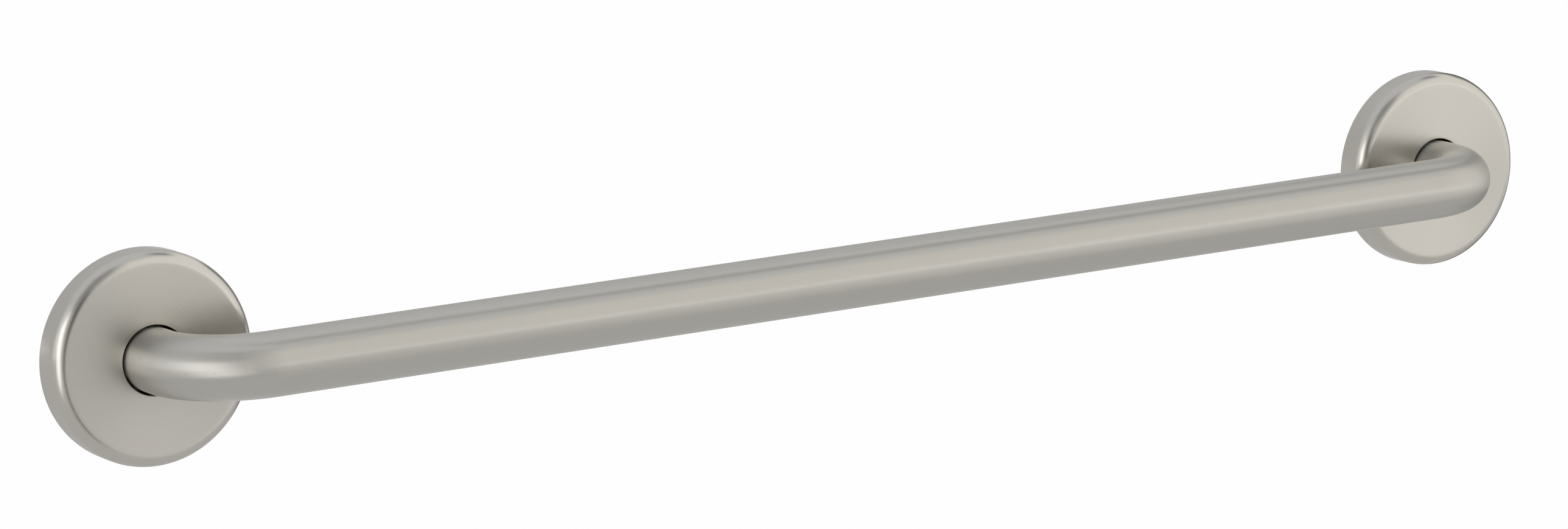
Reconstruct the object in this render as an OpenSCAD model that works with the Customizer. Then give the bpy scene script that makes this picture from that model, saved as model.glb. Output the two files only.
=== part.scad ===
// Wall-mounted towel bar: one tube bent back to the wall at both ends, a round
// mounting plate welded to each end, and a drawn cover that snaps over each plate.
// +X runs along the bar, +Y points into the wall, +Z is up. The origin is on the wall,
// midway between the centres of the two ends.

/* [Bar] */
// Distance between the centres of the two ends
span = 609.6; // [300:0.1:1220]
// Outside diameter of the tube
tube_d = 25.4; // [19:0.1:32]
// Wall thickness of the tube
tube_wall = 1.2; // [0.8:0.1:3]
// Distance from the wall to the axis of the bar
reach = 50.8; // [47:0.1:90]
// Radius of each bend, measured at the axis of the tube
bend_r = 31.75; // [22:0.05:35]

/* [Cover] */
// Outside diameter of each cover
cover_d = 84; // [80:0.5:110]
// Distance from the wall to the front face of the cover
cover_depth = 14; // [11:0.5:17]
// Thickness of the drawn sheet
cover_wall = 0.8; // [0.6:0.1:1.4]
// Outside radius of the rounded corner between face and skirt
corner_r = 5; // [3:0.5:6]
// Gap all round between the tube and the hole in the cover
hole_gap = 1; // [0.4:0.1:2]
// How far the rolled lip at the back of the skirt stands inwards
snap_lip = 0.5; // [0.4:0.05:0.8]

/* [Mounting plate] */
// Thickness of the plate
plate_t = 3; // [2.5:0.5:5]
// Gap all round between the rim of the plate and the inside of the skirt
plate_gap = 0.3; // [0.1:0.05:0.35]
// Number of screw holes
screw_n = 3; // [2:1:6]
// Diameter of each screw hole
screw_d = 6.5; // [4:0.1:8]
// Diameter of the circle that the screw holes lie on
screw_circle = 60; // [50:0.5:66]
// Radius of the weld bead where the tube passes through the plate
weld_r = 2.5; // [1.5:0.25:4]
// Width of the bevel on the front edge of the plate
edge_break = 0.4; // [0.2:0.1:1]

/* [Hidden] */
$fn = 128;

// Slip fit between the tube and the hole in the plate
weld_fit = 0.05;
// Clear space between the rolled lip and the bevelled rim it snaps behind
lip_play = 0.4;
// How far each cut runs past the face it goes through
overrun = 1;

tube_r = tube_d / 2;
bore_r = tube_r - tube_wall;
// Straight length from the wall to the start of each bend
neck_l = reach - bend_r;
// Straight length between the two bends
straight_l = span - 2 * bend_r;

skirt_r = cover_d / 2;
skirt_inner_r = skirt_r - cover_wall;
cover_hole_r = tube_r + hole_gap;

plate_r = skirt_inner_r - plate_gap;
plate_bore_r = tube_r + weld_fit;
// The bevel clears the whole height of the rolled lip
rim_bevel = 2 * snap_lip + lip_play;

// Quarter of a disc, in the corner where x and y are positive
module quarter_disc(r) {
    intersection() {
        circle(r = r);
        square([r, r]);
    }
}

// Half of a disc, on the side where x is positive
module half_disc(r) {
    intersection() {
        circle(r = r);
        translate([0, -r]) square([r, 2 * r]);
    }
}

// Half section of a drawn cup: a flat end, a rounded corner and a straight side
module cup_section(r, h, corner) {
    square([r, h - corner]);
    square([r - corner, h]);
    translate([r - corner, h - corner]) quarter_disc(corner);
}

// Places a part drawn around Z, with its back at zero, on the wall at one end of the bar
module at_end(side) {
    translate([side * span / 2, 0, 0]) rotate([90, 0, 0]) children();
}

// The bar's path filled to radius r, with its ends run past the wall by past
module bar_path(r, past) {
    translate([-straight_l / 2, -reach, 0])
        rotate([0, 90, 0]) cylinder(h = straight_l, r = r);
    for (turn = [0, 1]) mirror([turn, 0, 0]) {
        translate([-straight_l / 2, -neck_l, 0])
            rotate([0, 0, 180]) rotate_extrude(angle = 90)
                translate([bend_r, 0]) circle(r = r);
        translate([-span / 2, past, 0])
            rotate([90, 0, 0]) cylinder(h = neck_l + past, r = r);
    }
}

// The bent tube, open at both ends
module bar_tube() {
    color("silver") difference() {
        bar_path(tube_r, 0);
        bar_path(bore_r, overrun);
    }
}

// Half section of the plate, with its bevelled rim and the weld bead round its bore
module plate_section() {
    polygon([
        [plate_bore_r, 0],
        [plate_r - rim_bevel, 0],
        [plate_r, rim_bevel],
        [plate_r, plate_t - edge_break],
        [plate_r - edge_break, plate_t],
        [plate_bore_r, plate_t]
    ]);
    translate([plate_bore_r, plate_t]) quarter_disc(weld_r);
}

// The round plate that the tube is welded to and the screws go through
module mount_plate() {
    difference() {
        rotate_extrude() plate_section();
        for (i = [0 : screw_n - 1])
            rotate([0, 0, 90 + i * 360 / screw_n]) translate([screw_circle / 2, 0, -overrun])
                cylinder(h = plate_t + 2 * overrun, d = screw_d);
    }
}

// Half section of the cover: the drawn sheet, the round edge of its hole and the rolled lip
module cover_section() {
    difference() {
        cup_section(skirt_r, cover_depth, corner_r);
        translate([0, -overrun])
            cup_section(skirt_inner_r, cover_depth - cover_wall + overrun, corner_r - cover_wall);
        square([cover_hole_r + cover_wall / 2, cover_depth + overrun]);
    }
    translate([cover_hole_r + cover_wall / 2, cover_depth - cover_wall / 2])
        mirror([1, 0]) half_disc(cover_wall / 2);
    translate([skirt_inner_r, snap_lip]) mirror([1, 0]) half_disc(snap_lip);
}

// The drawn cover that hides the plate and its screws
module snap_cover() {
    rotate_extrude() cover_section();
}

module left_mount_plate() {
    color("gray") at_end(-1) mount_plate();
}

module right_mount_plate() {
    color("gray") at_end(1) mount_plate();
}

module left_cover() {
    color("lightgray") at_end(-1) snap_cover();
}

module right_cover() {
    color("lightgray") at_end(1) snap_cover();
}

bar_tube();
left_mount_plate();
right_mount_plate();
left_cover();
right_cover();
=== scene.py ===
import bpy
import bmesh
from math import cos, sin, pi, radians
from mathutils import Matrix, Vector


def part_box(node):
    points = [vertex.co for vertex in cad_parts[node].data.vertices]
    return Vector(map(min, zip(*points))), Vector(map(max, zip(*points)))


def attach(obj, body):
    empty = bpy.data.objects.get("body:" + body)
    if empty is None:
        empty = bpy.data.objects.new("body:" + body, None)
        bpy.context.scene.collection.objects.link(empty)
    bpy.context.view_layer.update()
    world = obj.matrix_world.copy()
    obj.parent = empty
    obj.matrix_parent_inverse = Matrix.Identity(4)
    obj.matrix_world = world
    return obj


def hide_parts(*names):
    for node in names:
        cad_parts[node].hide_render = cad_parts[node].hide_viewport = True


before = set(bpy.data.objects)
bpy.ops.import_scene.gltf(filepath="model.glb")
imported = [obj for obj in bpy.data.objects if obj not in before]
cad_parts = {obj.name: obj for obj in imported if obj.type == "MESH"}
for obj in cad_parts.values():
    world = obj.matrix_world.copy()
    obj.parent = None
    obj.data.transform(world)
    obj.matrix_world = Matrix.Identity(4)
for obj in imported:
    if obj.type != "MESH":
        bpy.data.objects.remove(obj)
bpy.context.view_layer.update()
print("frame loaded:", sorted(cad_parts))

crispAngle = 40  # degrees; where two faces meet at more than this, the edge stays crisp


def addNode(tree, kind, inputs=None, **settings):
    # an input is a socket to link or a plain value
    made = tree.nodes.new(kind)
    for key, value in settings.items():
        setattr(made, key, value)
    for key, value in (inputs or {}).items():
        if isinstance(value, bpy.types.NodeSocket):
            tree.links.new(value, made.inputs[key])
        else:
            made.inputs[key].default_value = value
    return made


def maths(tree, operation, first, second=0.0, third=0.0):
    made = addNode(tree, "ShaderNodeMath", {0: first, 1: second, 2: third}, operation=operation)
    return made.outputs[0]


def softStep(tree, value, start, end, low, high):
    # eases from low to high while value goes from start to end
    made = addNode(
        tree,
        "ShaderNodeMapRange",
        {0: value, 1: start, 2: end, 3: low, 4: high},
        interpolation_type="SMOOTHSTEP",
    )
    return made.outputs[0]


def mixColors(tree, factor, first, second):
    # the Mix node takes its two colours in sockets 6 and 7 and puts out the mix in 2
    made = addNode(tree, "ShaderNodeMix", {0: factor}, data_type="RGBA")
    for index, value in ((6, first), (7, second)):
        if isinstance(value, bpy.types.NodeSocket):
            tree.links.new(value, made.inputs[index])
        else:
            made.inputs[index].default_value = (*value, 1.0)
    return made.outputs[2]


def plainMesh(obj, name):
    # bakes the live modifiers into a mesh of its own
    bpy.context.view_layer.update()
    evaluated = obj.evaluated_get(bpy.context.evaluated_depsgraph_get())
    baked = bpy.data.meshes.new_from_object(evaluated)
    baked.name = name
    obj.modifiers.clear()
    obj.data = baked
    return baked


def turnOutwards(mesh):
    shell = bmesh.new()
    shell.from_mesh(mesh)
    bmesh.ops.recalc_face_normals(shell, faces=shell.faces)
    shell.to_mesh(mesh)
    shell.free()


def tubeRadius():
    low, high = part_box("bar_tube")
    return (high.z - low.z) / 2


def placePiece(piece, nodeName):
    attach(piece, "root")
    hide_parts(nodeName)


# brushed grain for every steel surface: Across is measured square to the brush lines
# and Along runs with them, both in metres
grainLayers = {
    # each layer of noise takes its own slice of the pattern
    "fine": {"detail": 3.0, "slice": 1.7},
    "broad": {"detail": 2.0, "slice": 5.3},
    "cloud": {"detail": 4.0, "slice": 9.1},
    "grit": {"detail": 1.0, "slice": 3.9},
}
grainMix = {
    "noiseRoughness": 0.55,
    "broadPitch": 6.0,  # broad lines as a multiple of the fine ones
    "broadLength": 2.5,
    "broadShare": 0.6,
    "lineRoughness": 0.10,  # how far lines and clouds show in the roughness
    "cloudRoughness": 0.12,
    "bumpDistance": 0.00002,  # metres
}
# inputs that each finish sets: the socket, the finish's value and the socket's default
grainInputs = (
    ("Line Pitch", "linePitch", 0.0005),
    ("Line Length", "lineLength", 0.012),
    ("Cloud Size", "cloudSize", 0.03),
    ("Line Amount", "lineAmount", 0.5),
    ("Cloud Amount", "cloudAmount", 0.5),
    ("Grit Size", "gritSize", 0.0006),
    ("Grit Amount", "gritAmount", 0.3),
    ("Roughness", "roughness", 0.3),
)


def satinGrainGroup():
    group = bpy.data.node_groups.new("satinGrain", "ShaderNodeTree")
    sockets = [("Across", 0.0), ("Along", 0.0), ("Gloss", 1.0)]
    sockets += [(name, default) for name, key, default in grainInputs]
    for name, default in sockets:
        socket = group.interface.new_socket(
            name, in_out="INPUT", socket_type="NodeSocketFloat"
        )
        socket.default_value = default
    for name in ("Tone", "Roughness", "Height"):
        group.interface.new_socket(name, in_out="OUTPUT", socket_type="NodeSocketFloat")
    given = group.nodes.new("NodeGroupInput").outputs
    out = group.nodes.new("NodeGroupOutput").inputs

    def stretchedNoise(layer, sizeAcross, sizeAlong):
        # noise in cells of the given size, centred on zero
        across = maths(group, "DIVIDE", given["Across"], sizeAcross)
        along = maths(group, "DIVIDE", given["Along"], sizeAlong)
        place = addNode(
            group,
            "ShaderNodeCombineXYZ",
            {0: across, 1: along, 2: grainLayers[layer]["slice"]},
        )
        made = addNode(
            group,
            "ShaderNodeTexNoise",
            {
                "Vector": place.outputs[0],
                "Scale": 1.0,
                "Detail": grainLayers[layer]["detail"],
                "Roughness": grainMix["noiseRoughness"],
            },
        )
        return maths(group, "SUBTRACT", made.outputs[0], 0.5)

    fineLines = stretchedNoise("fine", given["Line Pitch"], given["Line Length"])
    broadPitch = maths(group, "MULTIPLY", given["Line Pitch"], grainMix["broadPitch"])
    broadLength = maths(group, "MULTIPLY", given["Line Length"], grainMix["broadLength"])
    broadLines = stretchedNoise("broad", broadPitch, broadLength)
    clouds = stretchedNoise("cloud", given["Cloud Size"], given["Cloud Size"])
    grit = stretchedNoise("grit", given["Grit Size"], given["Grit Size"])

    lines = maths(group, "MULTIPLY_ADD", broadLines, grainMix["broadShare"], fineLines)
    lines = maths(group, "MULTIPLY", lines, given["Line Amount"])
    clouds = maths(group, "MULTIPLY", clouds, given["Cloud Amount"])
    grit = maths(group, "MULTIPLY", grit, given["Grit Amount"])
    lines = maths(group, "ADD", lines, grit)
    tone = maths(group, "ADD", maths(group, "ADD", lines, clouds), 0.5)
    roughness = maths(
        group, "MULTIPLY_ADD", lines, grainMix["lineRoughness"], given["Roughness"]
    )
    roughness = maths(
        group, "MULTIPLY_ADD", clouds, grainMix["cloudRoughness"], roughness
    )
    roughness = maths(group, "MULTIPLY", roughness, given["Gloss"])
    group.links.new(tone, out["Tone"])
    group.links.new(roughness, out["Roughness"])
    group.links.new(lines, out["Height"])
    return group


satinGrain = satinGrainGroup()


def placeGrain(tree, across, along, finish, gloss=1.0):
    inputs = {"Across": across, "Along": along, "Gloss": gloss}
    for name, key, default in grainInputs:
        inputs[name] = finish[key]
    return addNode(tree, "ShaderNodeGroup", inputs, node_tree=satinGrain).outputs


def steelMaterial(name, finish):
    material = bpy.data.materials.new(name)
    material.use_nodes = True
    tree = material.node_tree
    shader = tree.nodes["Principled BSDF"]
    shader.inputs["Metallic"].default_value = 1.0
    shader.inputs["Anisotropic"].default_value = finish["anisotropic"]
    return material, tree, shader


def finishSteel(tree, shader, color, grain, finish):
    bump = addNode(
        tree,
        "ShaderNodeBump",
        {
            "Strength": finish["bumpStrength"],
            "Distance": grainMix["bumpDistance"],
            "Height": grain["Height"],
        },
    )
    tree.links.new(color, shader.inputs["Base Color"])
    tree.links.new(grain["Roughness"], shader.inputs["Roughness"])
    tree.links.new(bump.outputs[0], shader.inputs["Normal"])


# what all marks of handling have in common
markShape = {
    "raggedScale": 900.0,
    "raggedDetail": 2.0,
    "core": 0.3,  # the share of a mark's size that is at its full depth
}


def markMask(tree, marks):
    # each mark is a soft blot with a ragged edge round its spot on the skin
    place = tree.nodes.new("ShaderNodeTexCoord").outputs["Object"]
    noise = addNode(
        tree,
        "ShaderNodeTexNoise",
        {
            "Vector": place,
            "Scale": markShape["raggedScale"],
            "Detail": markShape["raggedDetail"],
        },
    )
    # from -1 to 1
    ragged = maths(tree, "MULTIPLY", maths(tree, "SUBTRACT", noise.outputs[0], 0.5), 2.0)
    mask = 0.0
    for mark in marks:
        away = addNode(
            tree, "ShaderNodeVectorMath", {0: place, 1: mark["spot"]}, operation="DISTANCE"
        ).outputs["Value"]
        away = maths(tree, "MULTIPLY_ADD", ragged, mark["size"], away)
        core = mark["size"] * markShape["core"]
        blot = softStep(tree, away, core, mark["size"], mark["depth"], 0.0)
        mask = maths(tree, "MAXIMUM", mask, blot)
    return mask


def brushedSteel(name, finish, marks=(), polished=None):
    # the brush map's u runs across the lines, so the tangent stretches the gloss that way
    material, tree, shader = steelMaterial(name, finish)
    brush = addNode(tree, "ShaderNodeUVMap", uv_map="brush")
    parts = addNode(tree, "ShaderNodeSeparateXYZ", {0: brush.outputs[0]}).outputs
    gloss = 1.0
    if polished:
        # the rounded corner is smoother, between two lengths along the profile
        start, end = polished
        ease = finish["polishEase"]
        since = softStep(tree, parts[0], start - ease, start + ease, 0.0, 1.0)
        until = softStep(tree, parts[0], end - ease, end + ease, 1.0, 0.0)
        share = maths(tree, "MULTIPLY", since, until)
        gloss = maths(tree, "MULTIPLY_ADD", share, -finish["polish"], 1.0)
    grain = placeGrain(tree, parts[0], parts[1], finish, gloss)
    color = mixColors(tree, grain["Tone"], finish["darkTone"], finish["lightTone"])
    if marks:
        color = mixColors(tree, markMask(tree, marks), color, finish["markTone"])
    finishSteel(tree, shader, color, grain, finish)
    tangent = addNode(tree, "ShaderNodeTangent", direction_type="UV_MAP", uv_map="brush")
    tree.links.new(tangent.outputs[0], shader.inputs["Tangent"])
    return material


# the bar: one tube, bent back to the wall at both ends
barSizes = {
    "bendRadius": 0.03175,  # at the tube's axis
    "wall": 0.0012,
    "bendSteps": 48,
    "sides": 112,
    "mergeDistance": 0.000001,
}
barFinish = {
    "darkTone": (0.566, 0.546, 0.504),
    "lightTone": (0.616, 0.596, 0.550),
    "markTone": (0.10, 0.09, 0.08),
    "linePitch": 0.0006,
    "lineLength": 0.009,
    "cloudSize": 0.035,
    "lineAmount": 0.6,
    "cloudAmount": 0.6,
    "gritSize": 0.0007,
    "gritAmount": 0.8,
    "roughness": 0.34,
    "anisotropic": 0.93,
    "bumpStrength": 0.06,
}
# faint marks of handling on the left bend, each at a spot on the tube's skin, in metres
barMarks = [
    {"spot": (-0.3040, -0.0186, 0.0127), "size": 0.0017, "depth": 0.35},
    {"spot": (-0.3163, -0.0252, 0.0043), "size": 0.0013, "depth": 0.12},
    {"spot": (-0.3076, -0.0470, 0.0), "size": 0.0008, "depth": 0.18},
    {"spot": (-0.2993, -0.0549, 0.0004), "size": 0.0006, "depth": 0.15},
]


def bentTubeTree():
    # a path of four points, two on the wall and two out at the bar: its two bends
    # are rounded and a ring is swept along it
    pathPoints = 4
    pathMiddle = (pathPoints - 1) / 2
    tree = bpy.data.node_groups.new("bentTube", "GeometryNodeTree")
    tree.interface.new_socket(
        "Geometry", in_out="OUTPUT", socket_type="NodeSocketGeometry"
    )
    for name, kind in (
        ("Half Span", "NodeSocketFloat"),
        ("Reach", "NodeSocketFloat"),
        ("Bend Radius", "NodeSocketFloat"),
        ("Tube Radius", "NodeSocketFloat"),
        ("Bend Steps", "NodeSocketInt"),
        ("Sides", "NodeSocketInt"),
        ("Steel", "NodeSocketMaterial"),
    ):
        tree.interface.new_socket(name, in_out="INPUT", socket_type=kind)
    given = tree.nodes.new("NodeGroupInput").outputs
    out = tree.nodes.new("NodeGroupOutput").inputs

    corners = addNode(tree, "GeometryNodeMeshLine", {"Count": pathPoints})
    line = addNode(tree, "GeometryNodeMeshToCurve", {"Mesh": corners.outputs[0]})
    index = tree.nodes.new("GeometryNodeInputIndex").outputs[0]
    onRight = maths(tree, "GREATER_THAN", index, pathMiddle)
    side = maths(tree, "MULTIPLY_ADD", onRight, 2.0, -1.0)
    fromMiddle = maths(tree, "ABSOLUTE", maths(tree, "SUBTRACT", index, pathMiddle))
    atBar = maths(tree, "LESS_THAN", fromMiddle, 1.0)
    outwards = maths(tree, "MULTIPLY", atBar, given["Reach"])
    spot = addNode(
        tree,
        "ShaderNodeCombineXYZ",
        {
            0: maths(tree, "MULTIPLY", side, given["Half Span"]),
            1: maths(tree, "MULTIPLY", outwards, -1.0),
        },
    )
    path = addNode(
        tree,
        "GeometryNodeSetPosition",
        {"Geometry": line.outputs[0], "Position": spot.outputs[0]},
    )
    bent = addNode(
        tree,
        "GeometryNodeFilletCurve",
        {"Curve": path.outputs[0], "Count": given["Bend Steps"], "Radius": given["Bend Radius"]},
        mode="POLY",
    )
    # a full turn, whose last point lies on its first until the two are merged
    ring = addNode(
        tree,
        "GeometryNodeCurveArc",
        {
            "Resolution": maths(tree, "ADD", given["Sides"], 1.0),
            "Radius": given["Tube Radius"],
            "Start Angle": 0.0,
            "Sweep Angle": 2 * pi,
        },
    )

    def measured(curve):
        # keeps the length along the curve at each point, for the brush map
        length = tree.nodes.new("GeometryNodeSplineParameter").outputs["Length"]
        kept = addNode(tree, "GeometryNodeCaptureAttribute", {"Geometry": curve})
        kept.capture_items.new("FLOAT", "Length")
        tree.links.new(length, kept.inputs[1])
        return kept.outputs[0], kept.outputs[1]

    pathCurve, across = measured(bent.outputs[0])
    ringCurve, along = measured(ring.outputs[0])
    swept = addNode(
        tree,
        "GeometryNodeCurveToMesh",
        {"Curve": pathCurve, "Profile Curve": ringCurve},
    )
    brush = addNode(tree, "ShaderNodeCombineXYZ", {0: across, 1: along})
    mapped = addNode(
        tree,
        "GeometryNodeStoreNamedAttribute",
        data_type="FLOAT2",
        domain="CORNER",
    )
    tree.links.new(swept.outputs[0], mapped.inputs["Geometry"])
    tree.links.new(brush.outputs[0], mapped.inputs["Value"])
    mapped.inputs["Name"].default_value = "brush"
    closed = addNode(
        tree,
        "GeometryNodeMergeByDistance",
        {"Geometry": mapped.outputs[0], "Distance": barSizes["mergeDistance"]},
    )
    smooth = addNode(tree, "GeometryNodeSetShadeSmooth", {"Geometry": closed.outputs[0]})
    real = addNode(tree, "GeometryNodeRealizeInstances", {"Geometry": smooth.outputs[0]})
    steel = addNode(
        tree,
        "GeometryNodeSetMaterial",
        {"Geometry": real.outputs[0], "Material": given["Steel"]},
    )
    tree.links.new(steel.outputs[0], out[0])
    return tree


def setInputs(modifier, values):
    # a modifier's input goes by its socket's identifier
    for item in modifier.node_group.interface.items_tree:
        if item.item_type == "SOCKET" and item.in_out == "INPUT":
            modifier[item.identifier] = values[item.name]


def makeBar():
    low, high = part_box("bar_tube")
    radius = tubeRadius()
    bar = bpy.data.objects.new("barTube", bpy.data.meshes.new("barTube"))
    bpy.context.scene.collection.objects.link(bar)
    bend = bar.modifiers.new("bend", "NODES")
    bend.node_group = bentTubeTree()
    setInputs(
        bend,
        {
            "Half Span": high.x - radius,
            "Reach": -low.y - radius,
            "Bend Radius": barSizes["bendRadius"],
            "Tube Radius": radius,
            "Bend Steps": barSizes["bendSteps"],
            "Sides": barSizes["sides"],
            "Steel": brushedSteel("barSteel", barFinish, barMarks),
        },
    )
    turnOutwards(plainMesh(bar, "barTube"))
    wall = bar.modifiers.new("wall", "SOLIDIFY")
    wall.thickness = barSizes["wall"]
    wall.offset = -1.0
    mesh = plainMesh(bar, "barTube")
    mesh.set_sharp_from_angle(angle=radians(crispAngle))
    placePiece(bar, "bar_tube")
    print("bar tube:", len(mesh.polygons), "faces")


makeBar()


# the covers: drawn cups with a rolled lip behind and a rounded hole edge in front
coverSizes = {
    "cornerRadius": 0.005,
    "sheet": 0.0008,
    "holeGap": 0.001,  # between the tube and the hole's edge
    "snapLip": 0.0005,
    "backEdge": 0.00015,  # the skirt's edge at the wall is broken by this radius
    "backEdgeSteps": 4,
    "cornerSteps": 18,
    "edgeSteps": 10,
    "faceRings": 14,
    "turnSteps": 224,
}
coverFinish = {
    "darkTone": (0.568, 0.546, 0.500),
    "lightTone": (0.618, 0.595, 0.547),
    "linePitch": 0.0005,
    "lineLength": 0.010,
    "cloudSize": 0.022,
    "lineAmount": 0.4,
    "cloudAmount": 0.6,
    "gritSize": 0.0006,
    "gritAmount": 0.3,
    "roughness": 0.29,
    "anisotropic": 0.75,
    "bumpStrength": 0.03,
    "polish": 0.20,  # how much smoother the rounded corner is
    "polishEase": 0.0020,
}


def arcPoints(radius, depth, size, start, end, steps):
    # an arc round (radius, depth), with its angles in degrees
    points = []
    for k in range(steps + 1):
        angle = radians(start + (end - start) * k / steps)
        points.append((radius + size * cos(angle), depth + size * sin(angle)))
    return points


def coverProfile(outer, depth, hole):
    # from the wall up the skirt, over the corner and the face, and back on the inside
    corner = coverSizes["cornerRadius"]
    sheet = coverSizes["sheet"]
    lip = coverSizes["snapLip"]
    edge = coverSizes["backEdge"]
    rings = coverSizes["faceRings"]
    holeMiddle = hole + sheet / 2
    faceEdge = outer - corner
    points = arcPoints(outer - edge, edge, edge, -90, 0, coverSizes["backEdgeSteps"])
    points += arcPoints(faceEdge, depth - corner, corner, 0, 90, coverSizes["cornerSteps"])
    for k in range(1, rings):
        points.append((faceEdge + (holeMiddle - faceEdge) * k / rings, depth))
    middle = depth - sheet / 2
    points += arcPoints(holeMiddle, middle, sheet / 2, 90, 270, coverSizes["edgeSteps"])
    inner = corner - sheet
    points += arcPoints(faceEdge, depth - corner, inner, 90, 0, coverSizes["cornerSteps"])
    points += arcPoints(outer - sheet, lip, lip, 90, 270, coverSizes["edgeSteps"])
    return points


def turnProfile(name, profile, centreX, centreZ, steps):
    # spins a closed profile round an axis that runs into the wall
    count = len(profile)
    across = [0.0]
    for k in range(count):
        gap = Vector(profile[(k + 1) % count]) - Vector(profile[k])
        across.append(across[-1] + gap.length)
    meanRadius = sum(radius for radius, depth in profile) / count
    shell = bmesh.new()
    brush = shell.loops.layers.uv.new("brush")
    rows = []
    for step in range(steps):
        angle = 2 * pi * step / steps
        row = []
        for radius, depth in profile:
            x = centreX + radius * cos(angle)
            z = centreZ + radius * sin(angle)
            row.append(shell.verts.new((x, -depth, z)))
        rows.append(row)
    for step in range(steps):
        here = rows[step]
        there = rows[(step + 1) % steps]
        for k in range(count):
            after = (k + 1) % count
            panel = shell.faces.new((here[k], here[after], there[after], there[k]))
            panel.smooth = True
            places = ((k, step), (k + 1, step), (k + 1, step + 1), (k, step + 1))
            for loop, (ring, turn) in zip(panel.loops, places):
                loop[brush].uv = (across[ring], 2 * pi * turn / steps * meanRadius)
    bmesh.ops.recalc_face_normals(shell, faces=shell.faces)
    mesh = bpy.data.meshes.new(name)
    shell.to_mesh(mesh)
    shell.free()
    mesh.set_sharp_from_angle(angle=radians(crispAngle))
    return mesh


def cornerLengths():
    # where the rounded corner starts and ends along the profile
    low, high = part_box("left_cover")
    edge = coverSizes["backEdge"]
    corner = coverSizes["cornerRadius"]
    start = edge * pi / 2 + (high.y - low.y) - corner - edge
    return start, start + corner * pi / 2


coverSteel = brushedSteel("coverSteel", coverFinish, polished=cornerLengths())


def makeCover(name, nodeName):
    low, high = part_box(nodeName)
    outer = (high.x - low.x) / 2
    hole = tubeRadius() + coverSizes["holeGap"]
    profile = coverProfile(outer, high.y - low.y, hole)
    centreX = (low.x + high.x) / 2
    centreZ = (low.z + high.z) / 2
    mesh = turnProfile(name, profile, centreX, centreZ, coverSizes["turnSteps"])
    mesh.materials.append(coverSteel)
    cover = bpy.data.objects.new(name, mesh)
    bpy.context.scene.collection.objects.link(cover)
    placePiece(cover, nodeName)
    print(name, len(mesh.polygons), "faces")


makeCover("leftCover", "left_cover")
makeCover("rightCover", "right_cover")


# the plates keep the CAD shape, in mill finish with a heat tint round the weld
plateFinish = {
    "darkTone": (0.42, 0.42, 0.415),
    "lightTone": (0.56, 0.56, 0.55),
    "heatTone": (0.46, 0.36, 0.24),
    "heatReach": 0.006,
    "heatDepth": 0.7,
    "linePitch": 0.0008,
    "lineLength": 0.02,
    "cloudSize": 0.012,
    "lineAmount": 0.6,
    "cloudAmount": 1.2,
    "gritSize": 0.001,
    "gritAmount": 0.4,
    "roughness": 0.42,
    "anisotropic": 0.0,
    "bumpStrength": 0.25,
}


def plateSteel():
    material, tree, shader = steelMaterial("plateSteel", plateFinish)
    low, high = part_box("right_mount_plate")
    radius = tubeRadius()
    place = tree.nodes.new("ShaderNodeTexCoord").outputs["Object"]
    parts = addNode(tree, "ShaderNodeSeparateXYZ", {0: place}).outputs
    grain = placeGrain(tree, parts[2], parts[0], plateFinish)
    bare = mixColors(tree, grain["Tone"], plateFinish["darkTone"], plateFinish["lightTone"])
    # both plates stand equally far from the middle of the bar, so one material serves both
    across = maths(tree, "SUBTRACT", maths(tree, "ABSOLUTE", parts[0]), (low.x + high.x) / 2)
    upwards = maths(tree, "MULTIPLY", parts[2], parts[2])
    reach = maths(tree, "SQRT", maths(tree, "MULTIPLY_ADD", across, across, upwards))
    cool = radius + plateFinish["heatReach"]
    heat = softStep(tree, reach, radius, cool, plateFinish["heatDepth"], 0.0)
    tinted = mixColors(tree, heat, bare, plateFinish["heatTone"])
    finishSteel(tree, shader, tinted, grain, plateFinish)
    return material


plateMaterial = plateSteel()
for nodeName in ("left_mount_plate", "right_mount_plate"):
    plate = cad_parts[nodeName]
    plate.data.materials.clear()
    plate.data.materials.append(plateMaterial)
    print(nodeName, "keeps the CAD shape")


def flatSheet(name, sizeX, sizeY, level=0.0):
    # one face looking up, with its middle over the origin
    x = sizeX / 2
    y = sizeY / 2
    corners = [(-x, -y, level), (x, -y, level), (x, y, level), (-x, y, level)]
    mesh = bpy.data.meshes.new(name)
    mesh.from_pydata(corners, [], [(0, 1, 2, 3)])
    return mesh


def clearedMaterial(mesh, name):
    # gives the mesh a new material without nodes and returns its tree
    material = bpy.data.materials.new(name)
    material.use_nodes = True
    material.node_tree.nodes.clear()
    mesh.materials.append(material)
    return material.node_tree


# floor: pale, lighter towards the back, where it is the photograph's background
floorLook = {
    "level": -1.8,  # metres below the bar
    "size": 300.0,
    "nearTone": 0.64,
    "farTone": 1.0,
    "fadeAlong": (0.87, 0.49, 0.0),  # away from the camera; the fade is measured along it
    "fadeStart": 3.8,
    "fadeEnd": 5.7,
    "shadowShare": 0.04,  # how much of the floor takes real light and shadow
}


def seenDirectly(tree):
    # 1 for rays from the camera, off metal and through glass
    rays = tree.nodes.new("ShaderNodeLightPath").outputs
    seen = maths(tree, "MAXIMUM", rays["Is Camera Ray"], rays["Is Glossy Ray"])
    return maths(tree, "MAXIMUM", seen, rays["Is Transmission Ray"])


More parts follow.
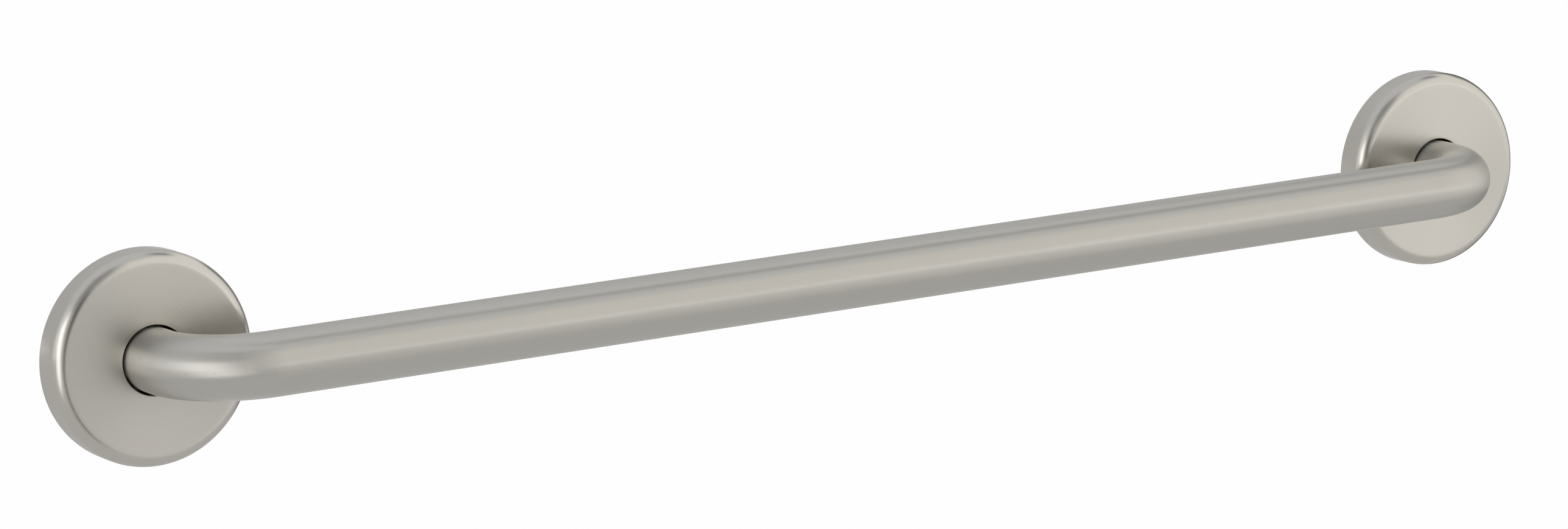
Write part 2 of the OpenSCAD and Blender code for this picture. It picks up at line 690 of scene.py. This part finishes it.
def makeFloor():
    mesh = flatSheet("floor", floorLook["size"], floorLook["size"], floorLook["level"])
    tree = clearedMaterial(mesh, "floorPaper")
    place = tree.nodes.new("ShaderNodeTexCoord").outputs["Object"]
    away = addNode(
        tree,
        "ShaderNodeVectorMath",
        {0: place, 1: floorLook["fadeAlong"]},
        operation="DOT_PRODUCT",
    ).outputs["Value"]
    tone = softStep(
        tree,
        away,
        floorLook["fadeStart"],
        floorLook["fadeEnd"],
        floorLook["nearTone"],
        floorLook["farTone"],
    )
    color = addNode(tree, "ShaderNodeCombineColor", {0: tone, 1: tone, 2: tone}).outputs[0]
    paper = addNode(tree, "ShaderNodeBsdfDiffuse", {"Color": color}).outputs[0]
    glow = addNode(tree, "ShaderNodeEmission", {"Color": color, "Strength": 1.0}).outputs[0]
    share = maths(tree, "MULTIPLY", seenDirectly(tree), 1.0 - floorLook["shadowShare"])
    both = addNode(tree, "ShaderNodeMixShader", {0: share, 1: paper, 2: glow})
    addNode(tree, "ShaderNodeOutputMaterial", {"Surface": both.outputs[0]})
    floor = bpy.data.objects.new("floor", mesh)
    bpy.context.scene.collection.objects.link(floor)


makeFloor()
print("floor done")


# soft studio: a pale dome with soft panels, angles in degrees; azimuth 0 is straight in
# front of the wall and grows to the right, and the floor hides what is below the horizon
domeLook = {"tone": (1.0, 1.0, 1.0), "level": 0.60}
softPanels = [
    {
        "name": "overhead",
        "azimuth": 0, "halfWidth": 180, "fade": 1,
        "low": 52, "high": 90, "rise": 29,
        "level": 0.74, "tone": (0.98, 1.0, 1.03),
    },
    {
        "name": "leftSide",
        "azimuth": -80, "halfWidth": 18, "fade": 16,
        "low": -90, "high": 33, "rise": 15,
        "level": 0.95, "tone": (0.985, 1.0, 1.02),
    },
    {
        "name": "rightSide",
        "azimuth": 66, "halfWidth": 44, "fade": 24,
        "low": -90, "high": 44, "rise": 10,
        "level": 1.03, "tone": (1.015, 1.0, 0.98),
    },
    {
        "name": "rightGap",
        "azimuth": 85, "halfWidth": 9, "fade": 8,
        "low": 54, "high": 62, "rise": 6,
        "level": 0.06, "tone": (1.0, 1.0, 1.0),
    },
    {
        "name": "frontGap",
        "azimuth": -23, "halfWidth": 17, "fade": 20,
        "low": 34, "high": 60, "rise": 12,
        "level": 0.36, "tone": (1.0, 1.0, 1.0),
    },
]
# soft boxes and dark cards stand upright, turned to the middle of the bar and out of the
# camera's sight; middle is the height of their centre, and lean tips their top sideways
softBoxes = [
    {
        "name": "keyBox",
        "azimuth": -54, "distance": 2.6, "middle": 0.22, "lean": 27,
        "width": 1.48, "height": 3.0, "softness": 0.42,
        "radiance": 1.26, "tone": (0.985, 1.0, 1.0),
    },
    {
        "name": "fillBox",
        "azimuth": 37, "distance": 2.2, "middle": -0.44, "lean": 0,
        "width": 2.5, "height": 2.1, "softness": 0.74,
        "radiance": 0.33, "tone": (1.015, 1.0, 0.98),
    },
]
darkCards = [
    {
        "name": "frontCard",
        "azimuth": -11, "distance": 2.3, "middle": 0.02, "lean": 27,
        "width": 0.66, "height": 2.7,
        "tone": 0.17,
    },
    {
        "name": "sideCard",
        "azimuth": 114, "distance": 1.7, "middle": -0.05, "lean": 0,
        "width": 1.0, "height": 2.2,
        "tone": 0.26,
    },
]


def panelMask(tree, azimuth, elevation, panel):
    # 1 on the panel, easing to 0 past its sides, its top and its foot
    turned = maths(tree, "SUBTRACT", azimuth, radians(panel["azimuth"]))
    turned = maths(tree, "ABSOLUTE", maths(tree, "WRAP", turned, pi, -pi))
    edge = radians(panel["halfWidth"])
    sideways = softStep(tree, turned, edge, edge + radians(panel["fade"]), 1.0, 0.0)
    top = radians(panel["high"])
    above = softStep(tree, elevation, top, top + radians(panel["rise"]), 1.0, 0.0)
    foot = radians(panel["low"])
    below = softStep(tree, elevation, foot - radians(panel["rise"]), foot, 0.0, 1.0)
    return maths(tree, "MULTIPLY", maths(tree, "MULTIPLY", above, below), sideways)


def makeStudio():
    world = bpy.data.worlds.new("studio")
    bpy.context.scene.world = world
    world.use_nodes = True
    tree = world.node_tree
    tree.nodes.clear()
    towards = tree.nodes.new("ShaderNodeTexCoord").outputs["Generated"]
    parts = addNode(tree, "ShaderNodeSeparateXYZ", {0: towards}).outputs
    front = maths(tree, "MULTIPLY", parts[1], -1.0)
    azimuth = maths(tree, "ARCTAN2", parts[0], front)
    elevation = maths(tree, "ARCSINE", parts[2])
    light = [part * domeLook["level"] for part in domeLook["tone"]]
    for panel in softPanels:
        mask = panelMask(tree, azimuth, elevation, panel)
        shine = [part * panel["level"] for part in panel["tone"]]
        light = mixColors(tree, mask, light, shine)
        light.node.label = panel["name"]
    glow = addNode(tree, "ShaderNodeBackground", {"Color": light, "Strength": 1.0})
    addNode(tree, "ShaderNodeOutputWorld", {"Surface": glow.outputs[0]})


def standUpright(obj, spot):
    # turns the flat side of a box or card to the middle of the bar
    turn = radians(spot["azimuth"])
    place = Vector((sin(turn) * spot["distance"], -cos(turn) * spot["distance"], spot["middle"]))
    facing = Matrix.Rotation(turn, 4, "Z") @ Matrix.Rotation(radians(90), 4, "X")
    leaning = Matrix.Rotation(radians(spot["lean"]), 4, "Z")
    obj.matrix_world = Matrix.Translation(place) @ facing @ leaning
    obj.visible_camera = False
    bpy.context.scene.collection.objects.link(obj)


def softEdges(tree, width, height, softness):
    # full in the middle, down to nothing at the box's four edges
    place = tree.nodes.new("ShaderNodeTexCoord").outputs["Object"]
    parts = addNode(tree, "ShaderNodeSeparateXYZ", {0: place}).outputs
    shares = []
    for part, half in ((parts[0], width / 2), (parts[1], height / 2)):
        away = maths(tree, "ABSOLUTE", part)
        shares.append(softStep(tree, away, half * (1 - softness), half, 1.0, 0.0))
    return maths(tree, "MULTIPLY", *shares)


def makeSoftBox(box):
    data = bpy.data.lights.new(box["name"], "AREA")
    data.shape = "RECTANGLE"
    data.size = box["width"]
    data.size_y = box["height"]
    data.color = box["tone"]
    data.energy = box["radiance"] * pi * box["width"] * box["height"]
    data.use_nodes = True
    tree = data.node_tree
    glow = tree.nodes["Emission"]
    share = softEdges(tree, box["width"], box["height"], box["softness"])
    tree.links.new(share, glow.inputs["Strength"])
    standUpright(bpy.data.objects.new(box["name"], data), box)


def makeCard(card):
    # shows in the metal only, as a dark line beside the lights
    mesh = flatSheet(card["name"], card["width"], card["height"])
    tree = clearedMaterial(mesh, card["name"])
    tone = (card["tone"], card["tone"], card["tone"], 1.0)
    paper = addNode(tree, "ShaderNodeBsdfDiffuse", {"Color": tone})
    addNode(tree, "ShaderNodeOutputMaterial", {"Surface": paper.outputs[0]})
    made = bpy.data.objects.new(card["name"], mesh)
    standUpright(made, card)


for box in softBoxes:
    makeSoftBox(box)
for card in darkCards:
    makeCard(card)
makeStudio()
print("studio light done")


# camera solved from the photograph: place, its three directions and its lens
cameraSet = {
    "place": (-1.18363, -1.98803, 0.42682),
    "right": (0.858156, -0.511862, -0.039569),
    "down": (-0.127179, -0.137282, -0.982334),
    "ahead": (0.497387, 0.848028, -0.182907),
    "lens": 131.91,
    "sensor": 36.0,
    "clipStart": 0.05,
    "clipEnd": 60.0,
}


def makeCamera():
    data = bpy.data.cameras.new("photoCamera")
    data.lens = cameraSet["lens"]
    data.sensor_width = cameraSet["sensor"]
    data.clip_start = cameraSet["clipStart"]
    data.clip_end = cameraSet["clipEnd"]
    camera = bpy.data.objects.new("photoCamera", data)
    turned = Matrix(
        (
            Vector(cameraSet["right"]),
            -Vector(cameraSet["down"]),
            -Vector(cameraSet["ahead"]),
        )
    ).transposed()
    camera.matrix_world = Matrix.Translation(cameraSet["place"]) @ turned.to_4x4()
    bpy.context.scene.collection.objects.link(camera)
    bpy.context.scene.camera = camera


makeCamera()
bpy.context.scene.view_settings.view_transform = "Standard"
print("camera placed")
